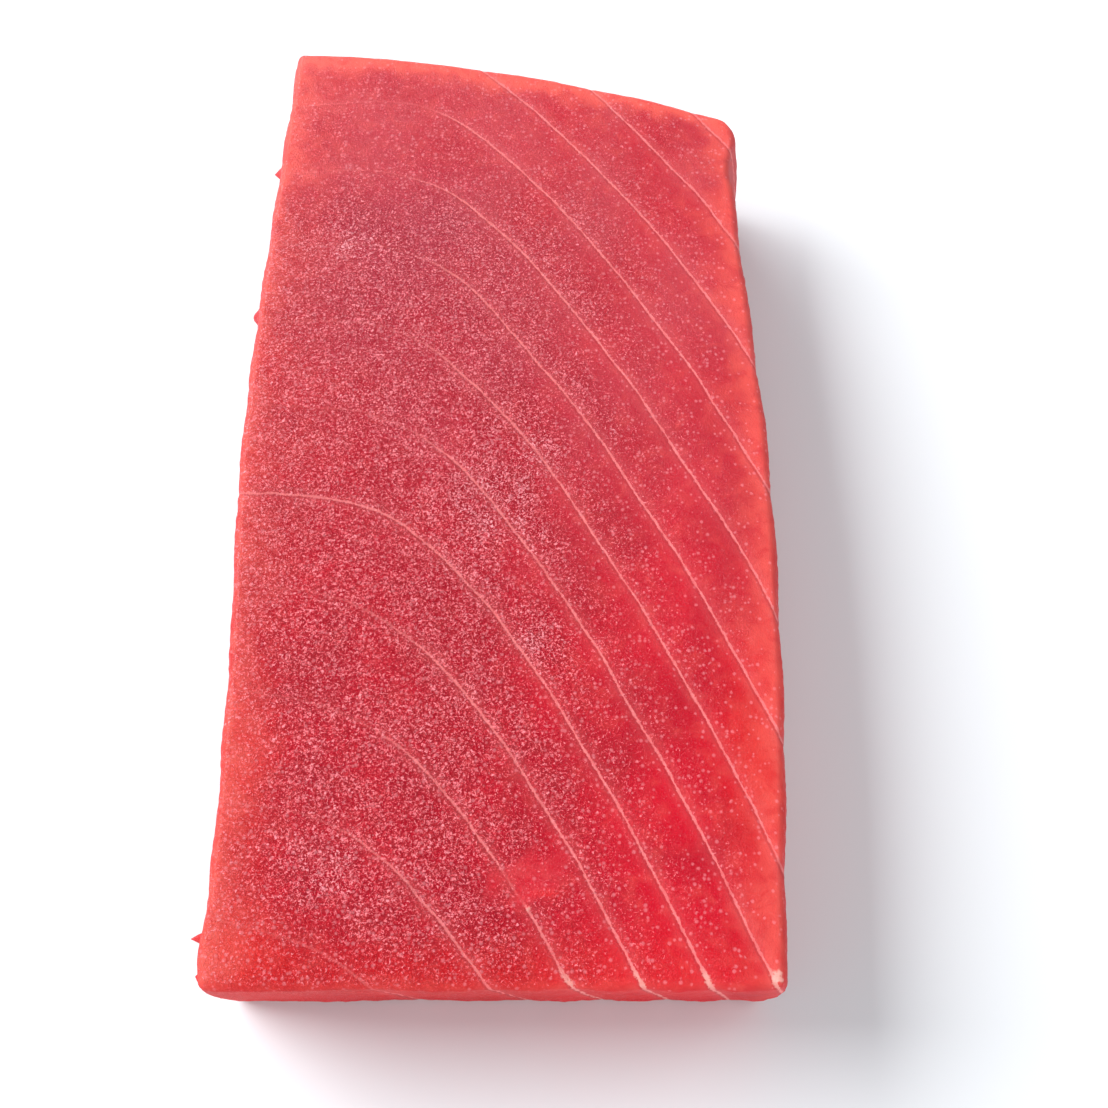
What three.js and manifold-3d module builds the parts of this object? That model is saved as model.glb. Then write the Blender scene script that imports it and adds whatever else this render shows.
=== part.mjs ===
// A block of raw lean tuna, as cut square from the loin to be sliced.
// It is one solid piece of flesh that lies flat on its largest face. The far end is cut askew, the
// sides belly out a little under their own weight, and the curved sheets of white tissue that part
// the muscle layers show as hairline grooves on the top, the sides and the ends.
// Millimetres. The origin is the middle of the underside, +X is to the right, +Y runs away along the
// length and +Z is up.
import * as THREE from "three";
import { mergeVertices } from "three/addons/utils/BufferGeometryUtils.js";
import Module from "manifold-3d";

const wasm = await Module();
wasm.setup();

// Overall size
const LENGTH = 169; // along the longer, left side
const WIDTH = 86; // across the middle
const THICKNESS = 28;
const FAR_SKEW = 16.2; // how much shorter the right side is than the left
const FAR_CURVE = 0.72; // share of that skew that comes in along a curve
const LEFT_HALF_WIDTHS = [40.6, 41.1, 42.8, 41.8, 40.1]; // at five even steps, near end to far end
const RIGHT_HALF_WIDTHS = [40.3, 42.6, 43, 40.7, 40];

// Edges and corners
const CORNER_RADII = { nearLeft: 1.6, nearRight: 1.2, farLeft: 1, farRight: 3.6 }; // upright edges
const SHOULDER_RADII = { left: 1, right: 1.1, near: 0.9, far: 1 }; // where the top meets the sides
const FOOT_RADIUS = 1; // where the sides turn under
const SIDE_BULGE = 2.3; // of the long sides, where they stand out most
const FAR_BULGE = 1; // and of the far end
const NEAR_LEAN = 1.7; // the near end leans out this much from its foot to the top
const SAG = 0.65; // below 1 they stand out most under their middle
const SIDE_POWER = 8; // how closely the bulge keeps to the sides
const EDGE_DROP = 0.9; // the top falls this much from its middle to its edges
const FAR_DROP = 0.5; // and this much more at the far end
const KNOB = { y: 64.5, reach: 4, out: 1.1 }; // soft knob on the right side at the far corner
const NICK = { y: 56, reach: 4, out: -0.6 }; // and the hollow beside it
const FLARE = { y: -81, reach: 5, out: 0.7 }; // the left side flares out at the near corner

// Muscle layers. A layer's number grows by one from each sheet of white tissue to the next.
const LAYER_PITCH = 15.4; // between sheets, along the length, where they lie square to it
const LAYER_START = -3; // length at which sheet 0 reaches the left side
const FIRST_SHEET = -4;
const LAST_SHEET = 8;
const SHEET_APEX_X = -11.4; // left of this line a sheet levels out, right of it a sheet runs down
const SHEET_FALL = 1.43; // final fall of a sheet to the right, at half length
const SHEET_FALL_CHANGE = -0.0051; // for each millimetre along the length
const SHEET_BEND = 18.4; // width over which a sheet bends, at half length
const SHEET_BEND_CHANGE = -0.129;
const SHEET_LEAN = 0.22; // a sheet stands this much further right for each millimetre down
const GROOVE_WIDTH = 0.5;
const GROOVE_DEPTH = 0.3;
const SIDE_SWELL = 0.3; // each layer swells out between its sheets, on the sides
const TOP_SWELL = 0.15; // and on the top

// Small marks left by handling
const DENT = { x: 4.5, y: -71.2, reach: [5.4, 3.6, 1.5], depth: 0.45, turn: 0.35 };
const TAGS = [
  // shreds that stand out of the left side: height, how far along, length, thickness
  { z: 21, y: 60.5, length: 1.9, radius: 0.8 },
  { z: 22, y: 27.9, length: 1.7, radius: 1.1 },
  { z: 19, y: -78, length: 2.4, radius: 0.7 },
  { z: 15, y: -83, length: 1.5, radius: 0.6 },
];

// Fineness of the flesh and of the smooth core that the grooves stop at
const FLESH_CELLS = { across: 14, along: 40, wall: 4, foot: 1, shoulder: 3 };
const CORE_CELLS = { across: 8, along: 14, wall: 4, foot: 0, shoulder: 2 };
const CROWDING = 0.8; // how strongly the cells crowd towards the edges, from 0 to 1
const SHEET_STEP = 5; // along a sheet

const MARGIN = 3; // how far a cutting tool reaches past the flesh

const { clamp, lerp, smoothstep } = THREE.MathUtils;

// The value at y of a smooth curve through values given at even steps along the length.
function alongLength(values, y) {
  const last = values.length - 1;
  const place = clamp((y / LENGTH + 0.5) * last, 0, last);
  const i = Math.min(Math.floor(place), last - 1);
  const [a, b, c, d] = [i - 1, i, i + 1, i + 2].map((n) => values[clamp(n, 0, last)]);
  const t = place - i;
  return b + 0.5 * t * (c - a + t * (2 * a - 5 * b + 4 * c - d + t * (3 * (b - c) + d - a)));
}

// A swelling of the outline, strongest at one place along the length.
function swelling({ y: middle, reach, out }, y) {
  return out * Math.exp(-(((y - middle) / reach) ** 2));
}

// How many sheets of tissue lie between a point and sheet 0. Each sheet is one branch of a
// hyperbola, seen from above, that leans to the right on its way down.
function layerNumber(x, y, z) {
  const right = x - SHEET_LEAN * (THICKNESS - z) - SHEET_APEX_X;
  const bend = SHEET_BEND + SHEET_BEND_CHANGE * y;
  const fall = SHEET_FALL + SHEET_FALL_CHANGE * y;
  return (y + (fall / 2) * (right + Math.hypot(right, bend)) - LAYER_START) / LAYER_PITCH;
}

// How far the flesh stands out at a point: nothing on a sheet, and most midway between two.
function layerSwell(x, y, z, upward) {
  const between = layerNumber(x, y, z) - Math.floor(layerNumber(x, y, z));
  const swell = Math.sin(Math.PI * between) ** 2;
  return swell * lerp(SIDE_SWELL, TOP_SWELL, upward) * smoothstep(z, 0, 2 * FOOT_RADIUS);
}

// How far the sides stand out at a height, as a share of their bulge.
function sagging(z) {
  return Math.sin(Math.PI * clamp(z / THICKNESS, 0, 1) ** SAG);
}

// Takes a point of a plain rounded box to its place on the block.
function shapePoint(x, y, z) {
  const across = x / (WIDTH / 2);
  const along = y / (LENGTH / 2);
  const share = (across + 1) / 2;
  const skew = FAR_SKEW * (FAR_CURVE * share ** 2 + (1 - FAR_CURVE) * share);
  const endShift = along < 0 ? -NEAR_LEAN * clamp(z / THICKNESS, 0, 1) : FAR_BULGE * sagging(z);
  const sideBulge = SIDE_BULGE * sagging(z) * Math.sign(across) * Math.abs(across) ** SIDE_POWER;
  const shapedY = y - (skew * (along + 1)) / 2 + endShift * Math.abs(along) ** (2 * SIDE_POWER);
  const halfWidth =
    across < 0
      ? alongLength(LEFT_HALF_WIDTHS, shapedY) + swelling(FLARE, shapedY)
      : alongLength(RIGHT_HALF_WIDTHS, shapedY) + swelling(KNOB, shapedY) + swelling(NICK, shapedY);
  const shapedX = across * halfWidth + sideBulge;
  const drop = EDGE_DROP * (across ** 4 + along ** 8) * 0.5 + (FAR_DROP * (along + 1)) / 2;
  return [shapedX, shapedY, z > 0 ? z * (1 - drop / THICKNESS) : z];
}

// Even steps from -half to half, made closer towards both ends.
function stations(half, count) {
  const swing = (CROWDING * Math.PI) / 2;
  return Array.from(
    { length: count + 1 },
    (_, i) => (half * Math.sin(swing * ((2 * i) / count - 1))) / Math.sin(swing),
  );
}

// The rows of points up the side. Each has the angle that the surface faces up there, and its
// height, which is given from the underside for the foot and the wall, and for the shoulder is left
// to the shoulder's radius. Without foot cells the wall goes straight down to bottom.
function sideRows(cells, bottom) {
  const rows = [];
  const quarter = Math.PI / 2;
  for (let i = 0; i < cells.foot; i++) {
    const tilt = quarter * (i / cells.foot - 1);
    rows.push({ inset: FOOT_RADIUS * (1 - Math.cos(tilt)), z: FOOT_RADIUS * (1 + Math.sin(tilt)), tilt });
  }
  if (cells.foot === 0) rows.push({ inset: 0, z: bottom, tilt: 0 });
  const wallTop = THICKNESS - Math.max(...Object.values(SHOULDER_RADII));
  for (let i = 0; i < cells.wall; i++) {
    rows.push({ inset: 0, z: lerp(FOOT_RADIUS, wallTop, i / cells.wall), tilt: 0 });
  }
  for (let i = 0; i <= cells.shoulder; i++) {
    rows.push({ inset: 0, shoulder: true, tilt: (quarter * i) / cells.shoulder });
  }
  return rows;
}

// Where the side surface is in the direction of one point of the outline of cells. The outline has
// rounded corners, which grow sharper over the shoulder until the rim of the top is a rectangle.
function sidePoint(x, y, { inset, shoulder, z, tilt }) {
  const closing = shoulder ? 1 - Math.cos(tilt) : 0;
  const { left, right, near, far } = SHOULDER_RADII;
  const minX = -WIDTH / 2 + inset + left * closing;
  const maxX = WIDTH / 2 - inset - right * closing;
  const minY = -LENGTH / 2 + inset + near * closing;
  const maxY = LENGTH / 2 - inset - far * closing;
  const plain = CORNER_RADII[(y < 0 ? "near" : "far") + (x < 0 ? "Left" : "Right")];
  const corner = (plain - inset) * (1 - closing);
  const edge = new THREE.Vector2(
    lerp(minX, maxX, x / WIDTH + 0.5),
    lerp(minY, maxY, y / LENGTH + 0.5),
  );
  const centre = new THREE.Vector2(
    clamp(edge.x, minX + corner, maxX - corner),
    clamp(edge.y, minY + corner, maxY - corner),
  );
  const outward = edge.sub(centre);
  if (outward.length() < 1e-9) outward.set(Math.sign(x), Math.sign(y));
  outward.normalize();
  const radius = (x < 0 ? left : right) * outward.x ** 2 + (y < 0 ? near : far) * outward.y ** 2;
  return {
    x: centre.x + outward.x * corner,
    y: centre.y + outward.y * corner,
    z: shoulder ? THICKNESS - radius * (1 - Math.sin(tilt)) : z,
    normal: new THREE.Vector3(outward.x, outward.y, 0).multiplyScalar(Math.cos(tilt)).setZ(Math.sin(tilt)),
  };
}

// A closed three.js geometry as a solid that can be cut and joined.
function solidOf(geometry) {
  const bare = geometry.index ? geometry.clone() : geometry;
  bare.deleteAttribute("normal");
  bare.deleteAttribute("uv");
  const merged = mergeVertices(bare, 1e-4);
  return new wasm.Manifold(
    new wasm.Mesh({
      numProp: 3,
      vertProperties: merged.getAttribute("position").array,
      triVerts: new Uint32Array(merged.index.array),
    }),
  );
}

// The flesh without its grooves, as a solid. Swell says how far it stands out at a point, and bottom
// is the height of its underside.
function flesh(cells, bottom, swell) {
  const xs = stations(WIDTH / 2, cells.across);
  const ys = stations(LENGTH / 2, cells.along);
  const positions = [];
  const triangles = [];

  function addPoint({ x, y, z, normal }) {
    const [sx, sy, sz] = shapePoint(x, y, z);
    const out = swell(sx, sy, sz, Math.max(normal.z, 0));
    positions.push(sx + normal.x * out, sy + normal.y * out, z > 0 ? sz + normal.z * out : z);
    return positions.length / 3 - 1;
  }

  function addQuad(a, b, c, d) {
    triangles.push(a, b, c, a, c, d);
  }

  // Once round the rectangle of cells, anticlockwise from above
  const round = [];
  for (let i = 0; i < cells.across; i++) round.push([i, 0]);
  for (let j = 0; j < cells.along; j++) round.push([cells.across, j]);
  for (let i = cells.across; i > 0; i--) round.push([i, cells.along]);
  for (let j = cells.along; j > 0; j--) round.push([0, j]);

  // Side walls, row by row
  const loops = sideRows(cells, bottom).map((row) =>
    round.map(([i, j]) => addPoint(sidePoint(xs[i], ys[j], row))),
  );
  loops.slice(1).forEach((upper, row) => {
    const lower = loops[row];
    round.forEach((_, n) => {
      const next = (n + 1) % round.length;
      addQuad(lower[n], lower[next], upper[next], upper[n]);
    });
  });

  // Top, whose outermost cells end on the last row of the sides
  const normal = new THREE.Vector3(0, 0, 1);
  const { left, right, near, far } = SHOULDER_RADII;
  const rim = new Map(round.map(([i, j], n) => [`${i} ${j}`, loops.at(-1)[n]]));
  const top = xs.map((across, i) =>
    ys.map((along, j) => {
      const x = lerp(left - WIDTH / 2, WIDTH / 2 - right, across / WIDTH + 0.5);
      const y = lerp(near - LENGTH / 2, LENGTH / 2 - far, along / LENGTH + 0.5);
      return rim.get(`${i} ${j}`) ?? addPoint({ x, y, z: THICKNESS, normal });
    }),
  );
  for (let i = 0; i < cells.across; i++) {
    for (let j = 0; j < cells.along; j++) {
      addQuad(top[i][j], top[i + 1][j], top[i + 1][j + 1], top[i][j + 1]);
    }
  }

  // Underside, one flat polygon
  const outline = loops[0].map((p) => new THREE.Vector2(positions[3 * p], positions[3 * p + 1]));
  for (const [a, b, c] of THREE.ShapeUtils.triangulateShape(outline, [])) {
    triangles.push(loops[0][c], loops[0][b], loops[0][a]);
  }

  const geometry = new THREE.BufferGeometry();
  geometry.setAttribute("position", new THREE.Float32BufferAttribute(positions, 3));
  geometry.setIndex(triangles);
  return solidOf(geometry);
}

// The length at which sheet k crosses the line at x on the top, found by halving.
function sheetY(k, x) {
  let [low, high] = [-2 * LENGTH, 2 * LENGTH];
  while (high - low > 1e-3) {
    const middle = (low + high) / 2;
    if (layerNumber(x, middle, THICKNESS) < k) low = middle;
    else high = middle;
  }
  return low;
}

// Sheet k as a thin upright wall that reaches past the flesh all round, leaning to the right.
function tissueSheet(k) {
  const near = [];
  const far = [];
  const start = -WIDTH / 2 - 2 * MARGIN - SHEET_LEAN * THICKNESS;
  const steps = Math.ceil((-2 * start) / SHEET_STEP);
  for (let i = 0; i <= steps; i++) {
    const x = lerp(start, -start, i / steps);
    const slope = (sheetY(k, x + 0.1) - sheetY(k, x - 0.1)) / 0.2;
    const side = new THREE.Vector2(-slope, 1).setLength(GROOVE_WIDTH / 2);
    const middle = new THREE.Vector2(x, sheetY(k, x));
    near.push(middle.clone().sub(side));
    far.unshift(middle.clone().add(side));
  }
  const wall = new THREE.ExtrudeGeometry(new THREE.Shape([...near, ...far]), {
    depth: THICKNESS + 2 * MARGIN,
    bevelEnabled: false,
  });
  wall.translate(0, 0, -MARGIN);
  const lean = new THREE.Matrix4().makeShear(0, 0, 0, 0, -SHEET_LEAN, 0);
  wall.translate(0, 0, -THICKNESS).applyMatrix4(lean).translate(0, 0, THICKNESS);
  return solidOf(wall);
}

// The scoop of the dent, a flattened ball that bites into the top.
function dentScoop() {
  const [reachX, reachY, reachZ] = DENT.reach;
  const ball = new THREE.SphereGeometry(1, 20, 12);
  ball.scale(reachX, reachY, reachZ).rotateZ(DENT.turn);
  return solidOf(ball.translate(DENT.x, DENT.y, THICKNESS + reachZ - DENT.depth));
}

// A shred of flesh: a small cone rooted in the left side and pointing away from it.
function fleshTag({ z, y, length, radius }) {
  const root = MARGIN / 2;
  const cone = new THREE.ConeGeometry(radius, length + root, 7);
  cone.translate(0, (length + root) / 2 - root, 0).rotateZ(Math.PI / 2);
  const side = -alongLength(LEFT_HALF_WIDTHS, y) - SIDE_BULGE * sagging(z);
  return solidOf(cone.translate(side, y, z));
}

// The whole block: the flesh with its tags, less the grooves and the dent.
function tunaBlock() {
  const core = flesh(CORE_CELLS, -2 * MARGIN, () => -GROOVE_DEPTH);
  let block = flesh(FLESH_CELLS, 0, layerSwell);
  for (const tag of TAGS) block = block.add(fleshTag(tag));
  block = block.subtract(dentScoop());
  for (let k = FIRST_SHEET; k <= LAST_SHEET; k++) {
    block = block.subtract(tissueSheet(k).subtract(core));
  }
  const mesh = block.getMesh();
  const geometry = new THREE.BufferGeometry();
  geometry.setAttribute("position", new THREE.BufferAttribute(mesh.vertProperties, 3));
  geometry.setIndex(new THREE.BufferAttribute(mesh.triVerts, 1));
  geometry.computeBoundingBox();
  const middle = geometry.boundingBox.getCenter(new THREE.Vector3());
  geometry.translate(-middle.x, -middle.y, 0);
  geometry.computeVertexNormals();
  return geometry;
}

const rawFlesh = new THREE.MeshStandardMaterial({ color: 0xd8404c, roughness: 0.35, metalness: 0 });
const block = new THREE.Mesh(tunaBlock(), rawFlesh);
block.name = "tuna_block";

const tuna = new THREE.Group();
tuna.add(block);

export default tuna;
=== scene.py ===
"""A block of raw lean tuna, cut square from the loin, lying flat with its widest face up.

The flesh is one closed surface worked out with numpy. Lengths are millimetres until a mesh is
made, +X is to the right, +Y runs away along the block and +Z is up.
"""
import math

import bpy
import numpy as np
from mathutils import Matrix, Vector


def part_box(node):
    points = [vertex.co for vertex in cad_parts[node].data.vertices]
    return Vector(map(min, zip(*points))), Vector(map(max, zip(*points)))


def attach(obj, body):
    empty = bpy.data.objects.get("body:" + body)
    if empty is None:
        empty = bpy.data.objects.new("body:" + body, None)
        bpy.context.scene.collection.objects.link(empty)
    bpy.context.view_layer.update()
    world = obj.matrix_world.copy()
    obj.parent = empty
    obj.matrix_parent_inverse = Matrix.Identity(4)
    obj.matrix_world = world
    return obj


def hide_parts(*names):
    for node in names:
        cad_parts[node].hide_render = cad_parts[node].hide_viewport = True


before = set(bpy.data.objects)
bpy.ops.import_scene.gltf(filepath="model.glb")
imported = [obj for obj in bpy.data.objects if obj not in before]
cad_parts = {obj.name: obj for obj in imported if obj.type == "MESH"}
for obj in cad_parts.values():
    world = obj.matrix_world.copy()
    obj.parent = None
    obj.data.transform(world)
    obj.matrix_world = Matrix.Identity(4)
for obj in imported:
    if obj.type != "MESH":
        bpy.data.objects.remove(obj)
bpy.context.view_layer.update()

MM = 0.001

# Overall size, as the solid has it
LENGTH = 169.0
WIDTH = 86.0
THICKNESS = 28.0
FAR_SKEW = 16.2
FAR_CURVE = 0.72
LEFT_HALF_WIDTHS = (40.6, 41.1, 42.8, 41.8, 40.1)
RIGHT_HALF_WIDTHS = (40.3, 42.6, 43.0, 40.7, 40.0)

# Edges and corners
CORNERS = {"near_left": 1.6, "near_right": 1.2, "far_left": 1.0, "far_right": 3.6}
SHOULDERS = {"left": 1.0, "right": 1.1, "near": 0.9, "far": 1.0}
FOOT_RADIUS = 1.0
SIDE_BULGE = 2.3
FAR_BULGE = 1.0
NEAR_LEAN = 1.7  # the near end leans out this much from its foot to the top
SAG = 0.65  # below 1 the sides bulge most under their middle
SIDE_POWER = 8
EDGE_DROP = 0.9
FAR_DROP = 0.5
KNOB = (64.5, 4.0, 1.1)  # place along the right side, reach and height
NICK = (56.0, 4.0, -0.6)
FLARE = (-81.0, 5.0, 0.7)  # the same, on the left side

# Muscle layers, counted from sheet 0 of white tissue, and the lie of those sheets
LAYER_PITCH = 15.383
LAYER_START = -3.02
SHEET_APEX = (-11.368, -0.617, 1.835)  # in x, by the powers of the length in decimetres
SHEET_FALL = (1.434, -0.507)
SHEET_BEND = (18.432, -12.933)
SHEET_LEAN = 0.22
FAR_TURN = (1.5, 45.0, 80.0)  # how far left the sheets turn, and from where to where along
LEFT_DROOP = (2.0, 22.0, 42.0)  # how far they come nearer, and from where to where on the left
SHEET_WANDER = ((0.35, 24.0, 5), (0.12, 6.0, 6))  # height, wavelength and seed of each ripple
RATE_STEP = 0.05
# Each sheet shows from this far along the width to the right, and is only a trace left of it
FIRST_SHEET = -4
SHEET_SHOWS_FROM = (-20, -18, -17, -20, -60, -13, -11, -10, -16, -14, -16, -12, -2)
SHOWS_RAMP = (-5.0, 8.0)
SHOWS_WANDER = ((4.0, 20.0, 11),)
TRACE = 0.2

# Relief
SIDE_SWELL = 0.28
TOP_SWELL = 0.15
GROOVE_DEPTH = 0.12
GROOVE_REACH = 0.34
CUT_WAVES = ((0.07, 17.0, 1), (0.03, 6.0, 2))  # height, wavelength and seed
TOP_FINE = 0.025
SIDE_FINE = 0.05
FINE_WAVE = (2.2, 3)  # wavelength and seed
UPRIGHT_WAVE = (1.8, 4)
UPRIGHT_SQUEEZE = 0.25
DENT = {"x": 4.6, "y": -71.0, "long": 5.6, "wide": 3.6, "turn": 0.45, "depth": 0.35}
DENT_RIM = 1.25
DENT_FAR_HALF = 0.55  # the depth beyond its crease, as a share
DENT_CREASE = (-0.3, 0.6)
OFF_THE_TOP = 9
SHREDS = (
    # on the left side: height, place along, reach, how far it stands out
    (21.0, 60.5, 0.9, 1.5),
    (22.0, 27.9, 1.3, 1.3),
    (19.0, -78.0, 0.7, 2.3),
    (15.0, -83.0, 0.8, 1.1),
)

# The painted rim light at each edge, a coral glow of light through the thin cut flesh: strength, reach,
# and 1 for a long tail or 2 for a short one
RIM_LIGHT = {
    "left": (1.15, 4.2, 1),
    "right": (0.72, 4.6, 2),
    "far": (1.4, 4.0, 2),
    "near": (0.35, 1.2, 2),
}
RIM_WAVER = ((0.4, 11.0, 21), (0.25, 3.5, 22))
SIDE_RIM = 0.3  # what the sides keep of it

# Where the grain is thick, and with it the painted glints on its pale specks: its losses as height,
# start and end, and the bare strip at each edge
THINS_TO_RIGHT = (0.76, -3.0, 36.0)
THIN_LINE_TURN = 0.05
THINS_TO_FAR = (0.6, 36.0, 62.0)
THINS_IN_LAYER = (0.6, 0.3, 0.9)
LAYERS_DIFFER_FROM = (-15.0, 20.0)
LAYER_GRAIN = 1.1
GRAIN_MEAN = 0.98
GRAIN_PATCHES = ((0.18, 13.0, 31),)
BARE_STRIPS = {"left": (-4.0, 2.0), "right": (-1.0, 7.0), "far": (-1.0, 6.0), "near": (-1.0, 1.6)}
SIDE_GRAIN = 0.7
SIDE_FLECK = 0.6
SMEAR_LOSS = 0.62
SMEAR_RIM = 1.35
SMEAR_FADE = 0.9
SMEAR_WAVER = ((0.35, 3.0, 44),)

# Spots seen from above, as x, y and the reach along each: orange-red flesh (one, the streak under
# the dent, painted shade in its crease), white tissue, and painted glare where the grain is thick
WARM_PLACES = (
    (-38.0, -58.0, 5.0, 16.0),
    (38.5, -53.0, 6.0, 15.0),
    (-35.0, -80.0, 8.0, 6.0),
    # the red streak under the dent: painted shade in its crease
    (7.4, -73.2, 2.4, 0.6),
    (-8.0, -84.5, 42.0, 5.5),
)
WHITE_PLACES = ((4.7, -75.4, 0.5, 0.6), (39.4, -84.6, 1.4, 1.3))
GLARE_PLACES = (
    (-3.5, -13.0, 6.0, 11.0),
    (5.0, -4.0, 4.0, 8.0),
    (7.0, -35.0, 4.0, 5.0),
    (-27.6, 39.5, 4.0, 3.0),
    (-24.0, -70.0, 5.0, 4.0),
)
GLARE_MEAN = 0.8
GLARE_WAVER = ((0.5, 5.0, 43),)
# The mauve cast, strong at the far left and weaker in a wider oval about the middle
BLOOM_CORE = (-22.0, 39.0, 15.0, 20.0)
BLOOM_WIDE = (-2.0, 15.0, 24.0, 34.0)
BLOOM_WIDE_SHARE = 0.5
BLOOM_WAVER = ((0.4, 15.0, 41),)
PALE_RAMP = (-55.0, 60.0)
PALE_TURN = 0.35
PALE_MEAN = 0.85
PALE_WAVER = ((0.3, 18.0, 42),)
# Where the sheets widen: how close to the near rim, and from where on towards the right
ENDS_NEAR = (1.0, 3.5)
ENDS_FROM = (2.0, 10.0)
ENDS_ON_SIDE = 0.4
SHEET_LOSS = 0.8  # how much of the sheets the smooth skin in the dent hides

# Fineness of the mesh
CELL = 0.56
WALL_CELL = 0.75
FOOT_ROWS = 3
SHOULDER_ROWS = 9

# Colours, linear
# painted shade: the dark red of the grain's pits and of the grooves beside the sheets
SHADE_RED = (0.33, 0.001, 0.011)
DEEP_RED = (0.49, 0.003, 0.018)
FRESH_RED = (0.62, 0.004, 0.021)
SOFT_RED = (0.54, 0.044, 0.062)
SMEAR_PINK = (0.68, 0.070, 0.085)
WARM_RED = (0.80, 0.018, 0.012)
# coral: marbling in the flesh, and the painted rim light along the cut edges
CORAL = (0.83, 0.112, 0.090)
MAUVE = (0.38, 0.040, 0.075)
TISSUE = (0.88, 0.23, 0.235)
WHITE_TISSUE = (0.92, 0.50, 0.43)
# the grain's pink bodies and pale cores: partly their own colour, partly painted glints
PINK_GRAIN_AND_GLINT = (0.80, 0.085, 0.12)
FLECK_AND_GLINT = (0.97, 0.34, 0.39)
# painted glare on the pale cores in the glare places
GLARE_PINK = (0.97, 0.48, 0.54)
FLOOR = (0.84, 0.87, 0.90)

# Sizes of the lumps in the flesh
PATCH_SIZE = 15.0
MARBLE_SIZE = 3.0
CLUMP_SIZE = 3.0
GRAIN_SIZE = 0.33
DOT_SIZE = 0.75
SCATTER_SIZE = 5.0
CROOK_SIZE = 2.2
SHEET_LUMP_SIZE = 0.9
GAP_SIZE = 3.4
HAZE_SIZE = 1.1
SCRAP_SIZE = 0.9

# How strongly each colour covers what lies under it: body, core and dot are pale grain that is partly
# painted glints, the glare places' entry is painted glare, and crease is painted shade
COVER = {
    "warm": 0.5,
    "bloom": 0.6,
    "body": 0.5,
    "core": 0.8,
    "dot": 0.45,
    "glare": 0.7,
    "crease": 0.4,
    "halo": 0.1,
    "line": 0.84,
    "ends": 0.8,
    "scraps": 0.75,
}

# Ramps over noise from 0 to 1: start, end, and what they go from and to unless it is 0 to 1
PATCH_RAMP = (0.35, 0.65)
MARBLE_RAMP = (0.45, 0.8, 0, 0.3)
RIM_RAMP = (0.2, 0.6, 0.45, 1)
CLUMP_RAMP = (0.36, 0.62, 0.8, 1.02)
PIT_SHADE_RAMP = (0.54, 0.42)
SCATTER_RAMP = (0.35, 0.65, 0.1, 0.5)
DOT_RAMP = (0, 1, 0.26, 0.55)
BROKEN_RAMP = (0.35, 0.62, 0.7, 1)
HAZE_RAMP = (0.3, 0.7, 0.05, 0.36)
WHITE_RAMP = (0.22, 0.42)
BUMP_RAMP = (0.25, 0.75)

# Grain: the noise that a pale grain, partly a painted glint, has to pass, and how far above it its body
# and core begin
GRAIN_BAR = 0.62
BAR_FALL = 0.14
BODY_WIDTH = 0.08
CORE_RAMP = (0.05, 0.17)
GRAIN_FROM = (0.05, 0.35)
GLARE_GRAIN = 0.3  # what the places of painted glare add to the density
WARM_LOSS = 0.4  # what the warm places take away
RIM_FILLS = 0.8  # how far the painted rim light and the pale far end fill the painted shade of the pits
PALE_FILLS = 0.5
SIDE_FADES = 0.5
DOTS_IN_GRAIN = 0.4
DOT_SOFTNESS = 0.3

# Tissue: how crooked a sheet is in layers, half its thickness, how much wider it is at the near rim,
# its soft edge by its own half thickness, and the strips along it by the distance (the crease strip is
# painted shade in its groove)
CROOK = 0.03
HALF_RAMP = (0.32, 0.70, 0.08, 0.29)
ENDS_WIDEN = 1.2
LINE_EDGE = (0.5, 1.35)
HALO = (0.2, 2.2)
GROOVE_SHADE_NEAR = (-0.7, -0.35)
GROOVE_SHADE_FAR = (-0.3, -0.1)

# Wet surface
WET_ROUGHNESS = (0.3, 0.7, 0.24, 0.34)
SIDE_ROUGHNESS = 0.35
SIDE_FROM = (0.0, 0.12)
COAT = 0.09
COAT_LOSS = 0.08
COAT_ROUGHNESS = 0.12
GLOSS = 0.18
GRAIN_RELIEF = 0.18
SMOOTH_RELIEF = 0.2  # the share of it where there is no grain
GLOW_SHARE = 0.22
GLOW_RADIUS = (1.0, 0.16, 0.12)
GLOW_DEPTH = 3.0

# The camera, as the photograph was taken
CAMERA = (8.25, -109.85, 224.0)
CAMERA_TILT = math.radians(24.5)
LENS = 44.5
SENSOR_WIDTH = 36
NEAREST = 0.01

# Lamps, which all face the block: place and size in metres, and power in watts
LAMPS = {
    "window": ((-0.95, 0.35, 0.85), 0.8, 20.8),
    "far_window": ((-0.75, 1.1, 0.6), 0.7, 8.5),
    "right_window": ((1.05, 0.15, 0.95), 1.0, 4.0),
    "front": ((0.15, -1.2, 0.5), 0.6, 6.0),
}
ROOM = (0.95, 0.97, 1.0)
ROOM_LIGHT = 0.36
FLOOR_HALF = 3.0  # metres
FLOOR_ROUGHNESS = 0.6
FLOOR_GLOSS = 0.2


def smooth(value, start, end):
    """0 below start, 1 above end, and an even S curve between."""
    t = np.clip((value - start) / (end - start), 0, 1)
    return t * t * (3 - 2 * t)


def rise(value, height, start, end):
    """Goes from 0 to a height along an S curve as value goes from start to end."""
    return height * smooth(value, start, end)


def ripples(points, wavelength, seed, waves=16):
    """Even noise from about -1 to 1: a sum of sine waves in random directions, near one wavelength."""
    draw = np.random.default_rng(seed)
    total = np.zeros(points.shape[:-1])
    for _ in range(waves):
        direction = draw.normal(size=3)
        direction *= 2 * np.pi / (np.linalg.norm(direction) * wavelength * draw.uniform(0.7, 1.5))
        total += np.sin(points @ direction + draw.uniform(0, 2 * np.pi))
    return total / math.sqrt(2 * waves)


def uneven(points, parts):
    """The sum of several ripples, each given by its height, wavelength and seed."""
    return sum(height * ripples(points, wavelength, seed) for height, wavelength, seed in parts)


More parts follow.
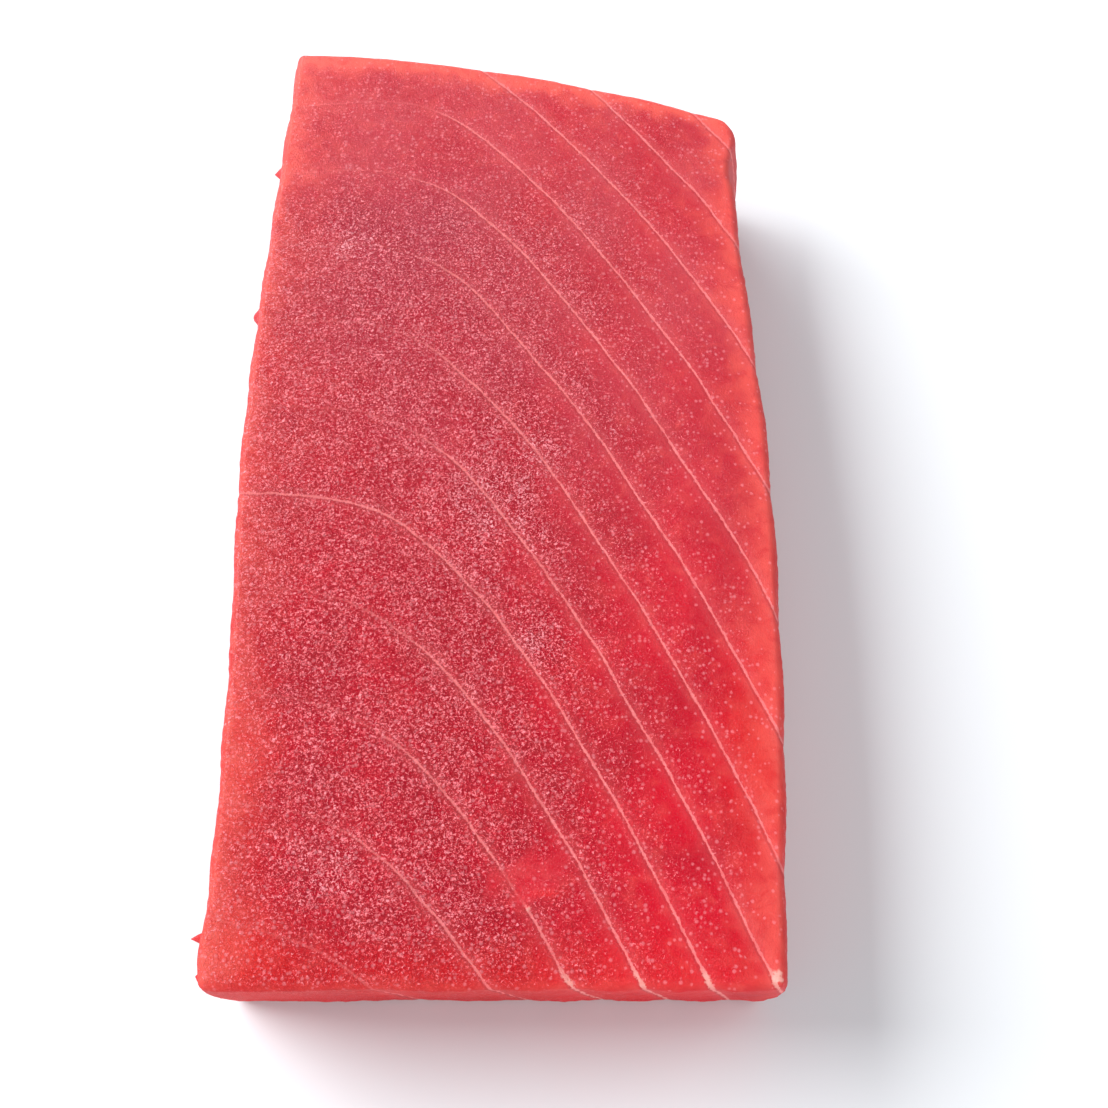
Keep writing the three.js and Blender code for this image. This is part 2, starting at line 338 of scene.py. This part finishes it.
def along_length(values, y):
    """A smooth curve through values at even steps along the length: a cubic on each step whose
    slope at both ends is half the difference of the neighbours."""
    last = len(values) - 1
    place = np.clip((y / LENGTH + 0.5) * last, 0, last)
    step = np.minimum(np.floor(place), last - 1).astype(int)
    a, b, c, d = (np.take(values, np.clip(step + n, 0, last)) for n in (-1, 0, 1, 2))
    t = place - step
    return b + 0.5 * t * (c - a + t * (2 * a - 5 * b + 4 * c - d + t * (3 * (b - c) + d - a)))


def hump(y, place, reach, height):
    """A bell curve of that height and reach about one place along the length."""
    return height * np.exp(-(((y - place) / reach) ** 2))


def power_series(terms, y):
    """The sum of each term times that power of the length in decimetres."""
    return sum(term * (y / 100) ** power for power, term in enumerate(terms))


def layer_number(points):
    """How many sheets lie between a point and sheet 0. Seen from above each sheet is a branch of a
    hyperbola, and it stands further right on its way down: (y + fall / 2 * (t + sqrt(t^2 + bend^2))
    - start) / pitch, with t the distance right of the apex. The sheets turn left at the far end,
    droop towards the near end on the left, and wander a little everywhere."""
    x, y, z = np.moveaxis(points, -1, 0)
    right = x - SHEET_LEAN * (THICKNESS - z) - power_series(SHEET_APEX, y) + rise(y, *FAR_TURN)
    bent = right + np.hypot(right, power_series(SHEET_BEND, y))
    moved_y = y + uneven(points, SHEET_WANDER) + rise(-x, *LEFT_DROOP)
    return (moved_y + power_series(SHEET_FALL, y) / 2 * bent - LAYER_START) / LAYER_PITCH


def layer_rate(points):
    """How fast the layer number changes, in layers for each millimetre, by small differences."""
    here = layer_number(points)
    moves = np.eye(3) * RATE_STEP
    return np.sqrt(sum(((layer_number(points + move) - here) / RATE_STEP) ** 2 for move in moves))


def far_skew(share):
    """How far the far end stands back, from 0 at the left side to all of it at the right."""
    return FAR_SKEW * (FAR_CURVE * share**2 + (1 - FAR_CURVE) * share)


def shape(x, y, z):
    """Takes points of a plain rounded box to their places on the block: the far end slants back to
    the right, the near end leans out, the sides bow and bulge, and the top falls to its edges."""
    across = x / (WIDTH / 2)
    along = y / (LENGTH / 2)
    sagging = np.sin(np.pi * np.clip(z / THICKNESS, 0, 1) ** SAG)
    end_shift = np.where(along < 0, -NEAR_LEAN * z / THICKNESS, FAR_BULGE * sagging)
    skew = far_skew((across + 1) / 2) * (along + 1) / 2
    new_y = y - skew + end_shift * np.abs(along) ** (2 * SIDE_POWER)
    left = along_length(LEFT_HALF_WIDTHS, new_y) + hump(new_y, *FLARE)
    right = along_length(RIGHT_HALF_WIDTHS, new_y) + hump(new_y, *KNOB) + hump(new_y, *NICK)
    half_width = np.where(across < 0, left, right)
    new_x = across * half_width + SIDE_BULGE * sagging * np.sign(across) * np.abs(across) ** SIDE_POWER
    drop = EDGE_DROP * (across**4 + along**8) * 0.5 + FAR_DROP * (along + 1) / 2
    return np.stack([new_x, new_y, z * (1 - drop / THICKNESS)], axis=-1)


def wall_rows():
    """The rows of points from the underside to the rim of the top, as columns: how far each is set
    in, its height, how far the surface faces up as an angle, and whether it is on the shoulder."""
    quarter = np.pi / 2
    foot = np.linspace(-quarter, 0, FOOT_ROWS + 1)[:-1]
    wall_top = THICKNESS - max(SHOULDERS.values())
    wall = np.linspace(FOOT_RADIUS, wall_top, round((wall_top - FOOT_RADIUS) / WALL_CELL))[:-1]
    shoulder = np.linspace(0, quarter, SHOULDER_ROWS)
    inset = np.concatenate([FOOT_RADIUS * (1 - np.cos(foot)), 0 * wall, 0 * shoulder])
    height = np.concatenate([FOOT_RADIUS * (1 + np.sin(foot)), wall, 0 * shoulder])
    tilt = np.concatenate([foot, 0 * wall, shoulder])
    on_shoulder = np.arange(len(tilt)) >= len(foot) + len(wall)
    return [column[:, None] for column in (inset, height, tilt, on_shoulder)]


def wall_points(x, y):
    """The points and normals of the sides over an outline of cells x, y: in each row a rectangle
    with round corners, whose corners close to sharp ones as the shoulder turns level."""
    inset, height, tilt, on_shoulder = wall_rows()
    closing = np.where(on_shoulder, 1 - np.cos(tilt), 0)
    low_x = -WIDTH / 2 + inset + SHOULDERS["left"] * closing
    high_x = WIDTH / 2 - inset - SHOULDERS["right"] * closing
    low_y = -LENGTH / 2 + inset + SHOULDERS["near"] * closing
    high_y = LENGTH / 2 - inset - SHOULDERS["far"] * closing
    near, left = y < 0, x < 0
    near_corner = np.where(left, CORNERS["near_left"], CORNERS["near_right"])
    far_corner = np.where(left, CORNERS["far_left"], CORNERS["far_right"])
    corner = (np.where(near, near_corner, far_corner) - inset) * (1 - closing)
    edge_x = low_x + (high_x - low_x) * (x / WIDTH + 0.5)
    edge_y = low_y + (high_y - low_y) * (y / LENGTH + 0.5)
    centre_x = np.clip(edge_x, low_x + corner, high_x - corner)
    centre_y = np.clip(edge_y, low_y + corner, high_y - corner)
    out_x, out_y = edge_x - centre_x, edge_y - centre_y
    size = np.hypot(out_x, out_y)
    closed = size < 1e-9
    out_x = np.where(closed, np.sign(x), out_x / np.where(closed, 1, size))
    out_y = np.where(closed, np.sign(y), out_y / np.where(closed, 1, size))
    size = np.hypot(out_x, out_y)
    out_x, out_y = out_x / size, out_y / size
    radius = np.where(left, SHOULDERS["left"], SHOULDERS["right"]) * out_x**2
    radius = radius + np.where(near, SHOULDERS["near"], SHOULDERS["far"]) * out_y**2
    z = np.where(on_shoulder, THICKNESS - radius * (1 - np.sin(tilt)), height)
    points = shape(centre_x + out_x * corner, centre_y + out_y * corner, z + 0 * out_x)
    normals = [out_x * np.cos(tilt), out_y * np.cos(tilt), np.sin(tilt) + 0 * out_x]
    return points, np.stack(normals, axis=-1)


def block_grid():
    """Points, outward normals and faces of the closed block: rows of sides round an outline of
    cells, a grid of cells over the top and one flat polygon underneath."""
    count_x, count_y = round(WIDTH / CELL), round(LENGTH / CELL)
    xs = np.linspace(-WIDTH / 2, WIDTH / 2, count_x + 1)
    ys = np.linspace(-LENGTH / 2, LENGTH / 2, count_y + 1)
    up_x, up_y = np.arange(count_x), np.arange(count_y)
    down_x, down_y = np.arange(count_x, 0, -1), np.arange(count_y, 0, -1)
    i_round = np.concatenate([up_x, np.full(count_y, count_x), down_x, np.zeros(count_y, int)])
    j_round = np.concatenate([np.zeros(count_x, int), up_y, np.full(count_x, count_y), down_y])
    points, normals = wall_points(xs[i_round], ys[j_round])
    rows, around = points.shape[:2]
    ring = np.arange(rows * around).reshape(rows, around)
    nxt = np.roll(ring, -1, axis=1)
    wall_faces = np.stack([ring[:-1], nxt[:-1], nxt[1:], ring[1:]], axis=-1).reshape(-1, 4)

    left, right = SHOULDERS["left"] - WIDTH / 2, WIDTH / 2 - SHOULDERS["right"]
    near, far = SHOULDERS["near"] - LENGTH / 2, LENGTH / 2 - SHOULDERS["far"]
    inner_x = left + (right - left) * (xs[1:-1] / WIDTH + 0.5)
    inner_y = near + (far - near) * (ys[1:-1] / LENGTH + 0.5)
    grid_x, grid_y = np.meshgrid(inner_x, inner_y, indexing="ij")
    top_points = shape(grid_x, grid_y, np.full_like(grid_x, THICKNESS)).reshape(-1, 3)
    top_normals = np.tile([0.0, 0.0, 1.0], (len(top_points), 1))
    top = np.empty((count_x + 1, count_y + 1), int)
    top[1:-1, 1:-1] = ring.size + np.arange(grid_x.size).reshape(grid_x.shape)
    top[i_round, j_round] = ring[-1]
    corners = [top[:-1, :-1], top[1:, :-1], top[1:, 1:], top[:-1, 1:]]
    top_faces = np.stack(corners, axis=-1).reshape(-1, 4)

    all_points = np.concatenate([points.reshape(-1, 3), top_points])
    all_normals = np.concatenate([normals.reshape(-1, 3), top_normals])
    faces = np.concatenate([wall_faces, top_faces]).tolist() + [ring[0, ::-1].tolist()]
    return all_points, all_normals, faces


def sheet_distance(points):
    """Signed distance to the nearest sheet in millimetres, and that sheet's number."""
    number = layer_number(points)
    nearest = np.round(number)
    return (number - nearest) / layer_rate(points), nearest


def sheet_strength(points, nearest):
    """How clearly the nearest sheet shows: full to the right of where it starts, a trace before."""
    last = len(SHEET_SHOWS_FROM) - 1
    start = np.take(SHEET_SHOWS_FROM, np.clip(nearest - FIRST_SHEET, 0, last).astype(int))
    place = points[:, 0] + uneven(points, SHOWS_WANDER)
    shows = smooth(place, start + SHOWS_RAMP[0], start + SHOWS_RAMP[1])
    return TRACE + (1 - TRACE) * shows


def dent_reach(points):
    """Distance from the middle of the dent, 1 on its oval rim, and the distance across its crease."""
    x, y = points[:, 0] - DENT["x"], points[:, 1] - DENT["y"]
    long = (x * math.cos(DENT["turn"]) + y * math.sin(DENT["turn"])) / DENT["long"]
    wide = (y * math.cos(DENT["turn"]) - x * math.sin(DENT["turn"])) / DENT["wide"]
    low = np.where(points[:, 2] > THICKNESS / 2, 0, OFF_THE_TOP)
    return np.hypot(long, wide) + low, wide


def relief(points, normals):
    """How far the surface stands out at each point: the layers swell between their sheets, each
    sheet lies in a fine groove, the cut faces waver, the dent sinks in and shreds stand out."""
    upward = np.clip(normals[:, 2], 0, 1)
    number = layer_number(points)
    out = np.sin(np.pi * (number - np.floor(number))) ** 2
    out = out * (SIDE_SWELL + (TOP_SWELL - SIDE_SWELL) * upward)
    distance, nearest = sheet_distance(points)
    shows = sheet_strength(points, nearest)
    out -= GROOVE_DEPTH * shows * np.exp(-((distance / GROOVE_REACH) ** 2))
    out += uneven(points, CUT_WAVES)
    out += (TOP_FINE + SIDE_FINE * (1 - upward)) * ripples(points, *FINE_WAVE)
    squeezed = points * np.array([1, 1, UPRIGHT_SQUEEZE])
    out += SIDE_FINE * (1 - upward) * ripples(squeezed, *UPRIGHT_WAVE)
    oval, crease = dent_reach(points)
    near_half = DENT_FAR_HALF + (1 - DENT_FAR_HALF) * smooth(-crease, *DENT_CREASE)
    out -= DENT["depth"] * smooth(DENT_RIM - oval, 0, 1) * near_half
    for z, y, reach, height in SHREDS:
        away = np.hypot(points[:, 2] - z, points[:, 1] - y) / reach
        out += np.where(points[:, 0] < 0, height * np.exp(-(away**2)) * (1 - upward), 0)
    return out * smooth(points[:, 2], 0, 2 * FOOT_RADIUS)


def blotch(points, x, y, reach_x, reach_y):
    """1 at a place on the top, falling to 0 away from it as a bell curve, seen from above."""
    return np.exp(-(((points[:, 0] - x) / reach_x) ** 2) - ((points[:, 1] - y) / reach_y) ** 2)


def blotches(points, places):
    """The sum of the blotches at several places."""
    return sum(blotch(points, *place) for place in places)


def edge_distances(points):
    """How far each point lies inside each edge of the top, seen from above."""
    x, y = points[:, 0], points[:, 1]
    return {
        "left": x + along_length(LEFT_HALF_WIDTHS, y),
        "right": along_length(RIGHT_HALF_WIDTHS, y) - x,
        "far": LENGTH / 2 - far_skew(np.clip(x / WIDTH + 0.5, 0, 1)) - y,
        "near": y + LENGTH / 2 + NEAR_LEAN,
    }


def painted_rim_light(points, inside, upward):
    """The painted rim light along the cut edges, a coral glow of light through the thin flesh: each
    edge fades inwards as exp(-(distance / reach)^n), with a reach that wavers, and the strongest edge
    counts."""
    waver = 1 + uneven(points, RIM_WAVER)
    rim = 0
    for edge, (strength, reach, power) in RIM_LIGHT.items():
        away = np.clip(inside[edge], 0, None) / (reach * waver)
        rim = np.maximum(rim, strength * np.exp(-(away**power)))
    return np.clip(rim, 0, 1) * (SIDE_RIM + (1 - SIDE_RIM) * upward)


def grain_thickness(points, inside, upward, smear):
    """How thickly the surface is flecked with pale specks that are partly painted glints: less to the
    right, at the far end, across each layer on the right, at the edges, on the sides and in the dent."""
    x, y = points[:, 0], points[:, 1]
    thick = 1 - rise(x - THIN_LINE_TURN * y, *THINS_TO_RIGHT)
    thick = np.minimum(thick, 1 - rise(y, *THINS_TO_FAR))
    thick = thick * (GRAIN_MEAN + uneven(points, GRAIN_PATCHES))
    number = layer_number(points)
    loss = rise(number - np.floor(number), *THINS_IN_LAYER) * smooth(x, *LAYERS_DIFFER_FROM)
    thick = thick * (LAYER_GRAIN - loss)
    covered = math.prod(smooth(inside[edge], *strip) for edge, strip in BARE_STRIPS.items())
    covered = np.maximum(covered, SIDE_GRAIN * (1 - upward))
    fleck = np.clip(thick * covered * (1 - SMEAR_LOSS * smear), 0, 1)
    return fleck * (SIDE_FLECK + (1 - SIDE_FLECK) * upward)


def colour_fields(points, normals):
    """The slow changes over the block, one number from 0 to 1 at each point: rim, the painted rim
    light along the cut edges; fleck, how thickly the surface is flecked with pale specks, partly
    painted glints; bloom, the mauve cast of the far left; smear, the smooth skin in the dent; pale,
    the softer red of the far right; warm, white and glare, the spots named above, glare being painted
    glare; ends, where the sheets widen at the near rim; and side, how upright the surface stands."""
    upward = np.clip(normals[:, 2], 0, 1)
    x, y = points[:, 0], points[:, 1]
    inside = edge_distances(points)
    oval, _ = dent_reach(points)
    smear = smooth(SMEAR_RIM + uneven(points, SMEAR_WAVER) - oval, 0, SMEAR_FADE)
    bloom = blotch(points, *BLOOM_CORE) + BLOOM_WIDE_SHARE * blotch(points, *BLOOM_WIDE)
    pale = smooth(y + PALE_TURN * x, *PALE_RAMP) * (PALE_MEAN + uneven(points, PALE_WAVER))
    glare = blotches(points, GLARE_PLACES) * (GLARE_MEAN + uneven(points, GLARE_WAVER))
    ends = (1 - smooth(inside["near"], *ENDS_NEAR)) * smooth(x, *ENDS_FROM)
    return {
        "rim": painted_rim_light(points, inside, upward),
        "fleck": grain_thickness(points, inside, upward, smear),
        "bloom": np.clip(bloom * (1 + uneven(points, BLOOM_WAVER)), 0, 1) * upward,
        "smear": smear,
        "pale": pale,
        "warm": blotches(points, WARM_PLACES),
        "white": blotches(points, WHITE_PLACES) * upward,
        "side": 1 - upward,
        "glare": np.clip(glare, 0, 1),
        "ends": ends * (ENDS_ON_SIDE + (1 - ENDS_ON_SIDE) * upward),
    }


def put_fields(mesh, fields):
    """Stores each array of numbers as a vertex attribute of that name."""
    for name, values in fields.items():
        attribute = mesh.attributes.new(name, "FLOAT", "POINT")
        attribute.data.foreach_set("value", values.astype(np.float32))


def tuna_block():
    """The block as one closed mesh, centred on the solid that it stands for, and how far it was
    moved for that in millimetres."""
    points, normals, faces = block_grid()
    shaped = points + normals * relief(points, normals)[:, None]
    shaped[:, 2] = np.maximum(shaped[:, 2], 0)
    low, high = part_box("tuna_block")
    middle = (np.array(low) + np.array(high))[:2] / 2 / MM
    shift = np.append(middle - (shaped.min(0) + shaped.max(0))[:2] / 2, 0)
    mesh = bpy.data.meshes.new("tuna_block_flesh")
    mesh.from_pydata(((shaped + shift) * MM).tolist(), [], faces)
    mesh.polygons.foreach_set("use_smooth", [True] * (len(faces) - 1) + [False])
    _, nearest = sheet_distance(points)
    fields = colour_fields(points, normals)
    fields["layer"] = layer_number(points)
    fields["layer_rate"] = layer_rate(points)
    fields["sheet"] = sheet_strength(points, nearest) * (1 - SHEET_LOSS * fields["smear"])
    put_fields(mesh, fields)
    mesh.update()
    mesh.validate()
    block = bpy.data.objects.new("tuna_block_flesh", mesh)
    bpy.context.collection.objects.link(block)
    return block, shift


def feed(tree, value, socket):
    """Sets a socket to a plain value, or joins another node's output to it."""
    if isinstance(value, bpy.types.NodeSocket):
        tree.links.new(value, socket)
    else:
        socket.default_value = value


def calc(tree, operation, *values):
    """A Math node on plain values or sockets."""
    node = tree.nodes.new("ShaderNodeMath")
    node.operation = operation
    for value, socket in zip(values, node.inputs):
        feed(tree, value, socket)
    return node.outputs[0]


def product(tree, first, *others):
    """The product of several plain values or sockets."""
    for other in others:
        first = calc(tree, "MULTIPLY", first, other)
    return first


def scaled(tree, value, factor, start=0.0):
    """Start plus a value times a factor."""
    return calc(tree, "MULTIPLY_ADD", value, factor, start)


def step_up(tree, value, start, end, low=0.0, high=1.0):
    """Goes from low to high along an S curve as value goes from start to end."""
    node = tree.nodes.new("ShaderNodeMapRange")
    node.interpolation_type = "SMOOTHSTEP"
    for part, socket in zip((value, start, end, low, high), node.inputs):
        feed(tree, part, socket)
    return node.outputs[0]


def blend_colour(tree, share, first, second):
    """Mixes two colours, plain or from sockets."""
    node = tree.nodes.new("ShaderNodeMix")
    node.data_type = "RGBA"
    feed(tree, share, node.inputs[0])
    for colour, socket in ((first, node.inputs[6]), (second, node.inputs[7])):
        feed(tree, (*colour, 1) if isinstance(colour, tuple) else colour, socket)
    return node.outputs[2]


def field(tree, name):
    """A number stored on the mesh."""
    node = tree.nodes.new("ShaderNodeAttribute")
    node.attribute_name = name
    return node.outputs["Fac"]


def cloud(tree, place, size, detail=2.0, roughness=0.5, distortion=0.0):
    """Noise whose lumps are about size millimetres."""
    noise = tree.nodes.new("ShaderNodeTexNoise")
    tree.links.new(place, noise.inputs["Vector"])
    noise.inputs["Scale"].default_value = 1 / (size * MM)
    noise.inputs["Detail"].default_value = detail
    noise.inputs["Roughness"].default_value = roughness
    noise.inputs["Distortion"].default_value = distortion
    return noise.outputs["Fac"]


def dots(tree, place, size, density):
    """Round dots in random cells of about size millimetres. Density is the share of cells with one."""
    cells = tree.nodes.new("ShaderNodeTexVoronoi")
    cells.inputs["Scale"].default_value = 1 / (size * MM)
    tree.links.new(place, cells.inputs["Vector"])
    draw = tree.nodes.new("ShaderNodeSeparateColor")
    tree.links.new(cells.outputs["Color"], draw.inputs[0])
    reach = step_up(tree, draw.outputs[1], *DOT_RAMP)
    dot = step_up(tree, cells.outputs["Distance"], product(tree, reach, DOT_SOFTNESS), reach, 1, 0)
    return product(tree, dot, calc(tree, "LESS_THAN", draw.outputs[0], density))


def flesh_reds(tree, place, marble):
    """The red under the grain: two deep reds in wide patches, softer at the far right, warmer in its
    spots (one of them painted shade in the dent's crease), marbled, with the mauve cast and then the
    painted rim light, coral along the edges, over them."""
    patches = step_up(tree, cloud(tree, place, PATCH_SIZE, 3, distortion=0.4), *PATCH_RAMP)
    colour = blend_colour(tree, patches, DEEP_RED, FRESH_RED)
    colour = blend_colour(tree, field(tree, "pale"), colour, SOFT_RED)
    colour = blend_colour(tree, scaled(tree, field(tree, "warm"), COVER["warm"]), colour, WARM_RED)
    colour = blend_colour(tree, step_up(tree, marble, *MARBLE_RAMP), colour, CORAL)
    colour = blend_colour(tree, scaled(tree, field(tree, "bloom"), COVER["bloom"]), colour, MAUVE)
    # painted rim light: coral along the cut edges
    edge = product(tree, field(tree, "rim"), step_up(tree, marble, *RIM_RAMP))
    return blend_colour(tree, edge, colour, CORAL)


def grain_with_painted_light(tree, place, colour, grains):
    """Adds the grain to a colour, with painted light and shade. Dark pits, painted shade in the
    grain's hollows, lie where the noise is low; pink bodies with pale cores, partly the grain's own
    colour and partly painted glints, where it passes a bar that falls as the grain thickens; round
    dots, partly painted glints too, are strewn between; and the pale cores turn to painted glare in
    the glare places."""
    fleck, glare = field(tree, "fleck"), field(tree, "glare")
    clumps = step_up(tree, cloud(tree, place, CLUMP_SIZE, 3, 0.6), *CLUMP_RAMP)
    density = calc(tree, "MULTIPLY_ADD", glare, GLARE_GRAIN, product(tree, fleck, clumps))
    density = product(tree, density, scaled(tree, field(tree, "warm"), -WARM_LOSS, 1.0))
    # painted shade in the grain's hollows
    pit_shade = product(
        tree,
        step_up(tree, grains, *PIT_SHADE_RAMP),
        density,
        scaled(tree, field(tree, "rim"), -RIM_FILLS, 1.0),
        scaled(tree, field(tree, "pale"), -PALE_FILLS, 1.0),
    )
    colour = blend_colour(tree, pit_shade, colour, SHADE_RED)

    # bodies, cores and dots below: pale grain, partly painted glints
    bar = scaled(tree, density, -BAR_FALL, GRAIN_BAR)
    there = step_up(tree, density, *GRAIN_FROM)
    body = step_up(tree, grains, bar, calc(tree, "ADD", bar, BODY_WIDTH))
    core = step_up(tree, grains, *(calc(tree, "ADD", bar, above) for above in CORE_RAMP))
    scatter = step_up(tree, cloud(tree, place, SCATTER_SIZE, 2), *SCATTER_RAMP)
    dot = dots(tree, place, DOT_SIZE, calc(tree, "MULTIPLY_ADD", fleck, DOTS_IN_GRAIN, scatter))
    core = calc(tree, "MAXIMUM", product(tree, core, there), product(tree, dot, COVER["dot"]))
    facing_up = scaled(tree, field(tree, "side"), -SIDE_FADES, 1.0)
    body = product(tree, body, there, facing_up, COVER["body"])
    colour = blend_colour(tree, body, colour, PINK_GRAIN_AND_GLINT)
    pale_speck = blend_colour(tree, scaled(tree, glare, COVER["glare"]), FLECK_AND_GLINT, GLARE_PINK)
    return blend_colour(tree, product(tree, core, facing_up, COVER["core"]), colour, pale_speck)


def sheet_mask(tree, place):
    """The white tissue: 1 within its thin sheets, with an uneven thickness, and 0 in the muscle. Also
    the paler flesh on both sides of a sheet, and the crease of painted shade in the groove along its
    near side."""
    crooked = scaled(tree, cloud(tree, place, CROOK_SIZE, 3, 0.6), CROOK, 0.5 - CROOK / 2)
    layer = calc(tree, "FRACT", calc(tree, "ADD", field(tree, "layer"), crooked))
    beyond = calc(tree, "DIVIDE", calc(tree, "SUBTRACT", layer, 0.5), field(tree, "layer_rate"))
    distance = calc(tree, "ABSOLUTE", beyond)
    half = step_up(tree, cloud(tree, place, SHEET_LUMP_SIZE, 3, 0.7), *HALF_RAMP)
    half = product(tree, half, scaled(tree, field(tree, "ends"), ENDS_WIDEN, 1.0))
    line = step_up(tree, distance, *(product(tree, half, part) for part in LINE_EDGE), 1, 0)
    halo = step_up(tree, distance, *HALO, 1, 0)
    # painted shade in the groove on the near side of each sheet
    crease = product(tree, step_up(tree, beyond, *GROOVE_SHADE_NEAR), step_up(tree, beyond, *GROOVE_SHADE_FAR, 1, 0))
    return line, halo, crease


def white_tissue(tree, place, colour):
    """Adds to a colour the sheets of tissue with the painted shade in their grooves, then the smooth
    haze in the dent and the white scraps at the near rim."""
    sheet = field(tree, "sheet")
    line, halo, crease = sheet_mask(tree, place)
    broken = step_up(tree, cloud(tree, place, GAP_SIZE, 3, 0.7), *BROKEN_RAMP)
    # painted shade along each sheet's groove
    colour = blend_colour(tree, product(tree, crease, sheet, COVER["crease"]), colour, SHADE_RED)
    colour = blend_colour(tree, product(tree, halo, sheet, COVER["halo"]), colour, TISSUE)
    whiteness = scaled(tree, field(tree, "ends"), COVER["ends"])
    tissue = blend_colour(tree, whiteness, TISSUE, WHITE_TISSUE)
    colour = blend_colour(tree, product(tree, line, broken, sheet, COVER["line"]), colour, tissue)
    haze = step_up(tree, cloud(tree, place, HAZE_SIZE, 3, 0.7), *HAZE_RAMP)
    colour = blend_colour(tree, product(tree, field(tree, "smear"), haze), colour, SMEAR_PINK)
    ragged = product(tree, field(tree, "white"), cloud(tree, place, SCRAP_SIZE, 2))
    scraps = product(tree, step_up(tree, ragged, *WHITE_RAMP), COVER["scraps"])
    return blend_colour(tree, scraps, colour, WHITE_TISSUE)


def wet_gloss(tree, shader, grains, marble):
    """Sets the surface: wet on the top and duller on the cut sides, the grain as fine relief, and
    light that scatters in the flesh."""
    rough = scaled(tree, field(tree, "fleck"), 1 - SMOOTH_RELIEF, SMOOTH_RELIEF)
    height = product(tree, step_up(tree, grains, *BUMP_RAMP), rough)
    bump = tree.nodes.new("ShaderNodeBump")
    bump.inputs["Strength"].default_value = 1.0
    bump.inputs["Distance"].default_value = GRAIN_RELIEF * MM
    tree.links.new(height, bump.inputs["Height"])
    tree.links.new(bump.outputs[0], shader.inputs["Normal"])
    turned = step_up(tree, field(tree, "side"), *SIDE_FROM)
    wetness = step_up(tree, marble, *WET_ROUGHNESS)
    roughness = calc(tree, "MULTIPLY_ADD", turned, SIDE_ROUGHNESS, wetness)
    tree.links.new(roughness, shader.inputs["Roughness"])
    tree.links.new(scaled(tree, turned, -COAT_LOSS, COAT), shader.inputs["Coat Weight"])
    shader.inputs["Coat Roughness"].default_value = COAT_ROUGHNESS
    shader.inputs["Specular IOR Level"].default_value = GLOSS
    shader.inputs["Subsurface Weight"].default_value = GLOW_SHARE
    shader.inputs["Subsurface Radius"].default_value = GLOW_RADIUS
    shader.inputs["Subsurface Scale"].default_value = GLOW_DEPTH * MM


def raw_flesh():
    """Wet raw tuna: deep translucent red, with painted rim light at its cut edges, flecked with pale
    wet grain that is partly painted glints, with painted shade in the grain's pits and along the
    sheets' grooves, painted glare in a few places, and thin sheets of pale tissue between the
    muscle layers."""
    material = bpy.data.materials.new("raw_flesh")
    material.use_nodes = True
    tree = material.node_tree
    shader = tree.nodes["Principled BSDF"]
    place = tree.nodes.new("ShaderNodeTexCoord").outputs["Object"]
    marble = cloud(tree, place, MARBLE_SIZE, 3, distortion=0.5)
    grains = cloud(tree, place, GRAIN_SIZE, 2, 0.6, 1.0)
    colour = flesh_reds(tree, place, marble)
    colour = grain_with_painted_light(tree, place, colour, grains)
    colour = white_tissue(tree, place, colour)
    tree.links.new(colour, shader.inputs["Base Color"])
    wet_gloss(tree, shader, grains, marble)
    return material


def plain_floor():
    """A wide pale floor under the block."""
    half = FLOOR_HALF
    corners = [(-half, -half, 0), (half, -half, 0), (half, half, 0), (-half, half, 0)]
    mesh = bpy.data.meshes.new("floor")
    mesh.from_pydata(corners, [], [(0, 1, 2, 3)])
    floor = bpy.data.objects.new("floor", mesh)
    bpy.context.collection.objects.link(floor)
    material = bpy.data.materials.new("pale_floor")
    material.use_nodes = True
    shader = material.node_tree.nodes["Principled BSDF"]
    shader.inputs["Base Color"].default_value = (*FLOOR, 1)
    shader.inputs["Roughness"].default_value = FLOOR_ROUGHNESS
    shader.inputs["Specular IOR Level"].default_value = FLOOR_GLOSS
    mesh.materials.append(material)


def soft_light(name, place, size, power):
    """A square area lamp of that size at a place in metres, facing the block, of so many watts."""
    lamp = bpy.data.lights.new(name, "AREA")
    lamp.shape = "SQUARE"
    lamp.size = size
    lamp.energy = power
    holder = bpy.data.objects.new(name, lamp)
    up_axis = np.array(place) / np.linalg.norm(place)
    side = np.cross((0, 1, 0), up_axis)
    side /= np.linalg.norm(side)
    turn = Matrix(np.column_stack([side, np.cross(up_axis, side), up_axis]).tolist()).to_4x4()
    holder.matrix_world = Matrix.Translation(place) @ turn
    bpy.context.collection.objects.link(holder)


def studio():
    """Soft light from the left, the far left, the right and the front, in a pale room."""
    world = bpy.data.worlds.new("pale_room")
    world.use_nodes = True
    background = world.node_tree.nodes["Background"]
    background.inputs["Color"].default_value = (*ROOM, 1)
    background.inputs["Strength"].default_value = ROOM_LIGHT
    bpy.context.scene.world = world
    for name, (place, size, power) in LAMPS.items():
        soft_light(name, place, size, power)
    bpy.context.scene.view_settings.view_transform = "Standard"


def photo_camera(shift):
    """The camera where the photograph was taken from, looking down along the block. Shift is how
    far the block was moved."""
    lens = bpy.data.cameras.new("photo_camera")
    lens.lens = LENS
    lens.sensor_width = SENSOR_WIDTH
    lens.clip_start = NEAREST
    camera = bpy.data.objects.new("photo_camera", lens)
    place = Matrix.Translation(((np.array(CAMERA) + shift) * MM).tolist())
    camera.matrix_world = place @ Matrix.Rotation(CAMERA_TILT, 4, "X")
    bpy.context.collection.objects.link(camera)
    bpy.context.scene.camera = camera


flesh, moved = tuna_block()
flesh.data.materials.append(raw_flesh())
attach(flesh, "root")
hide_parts("tuna_block")
plain_floor()
studio()
photo_camera(moved)
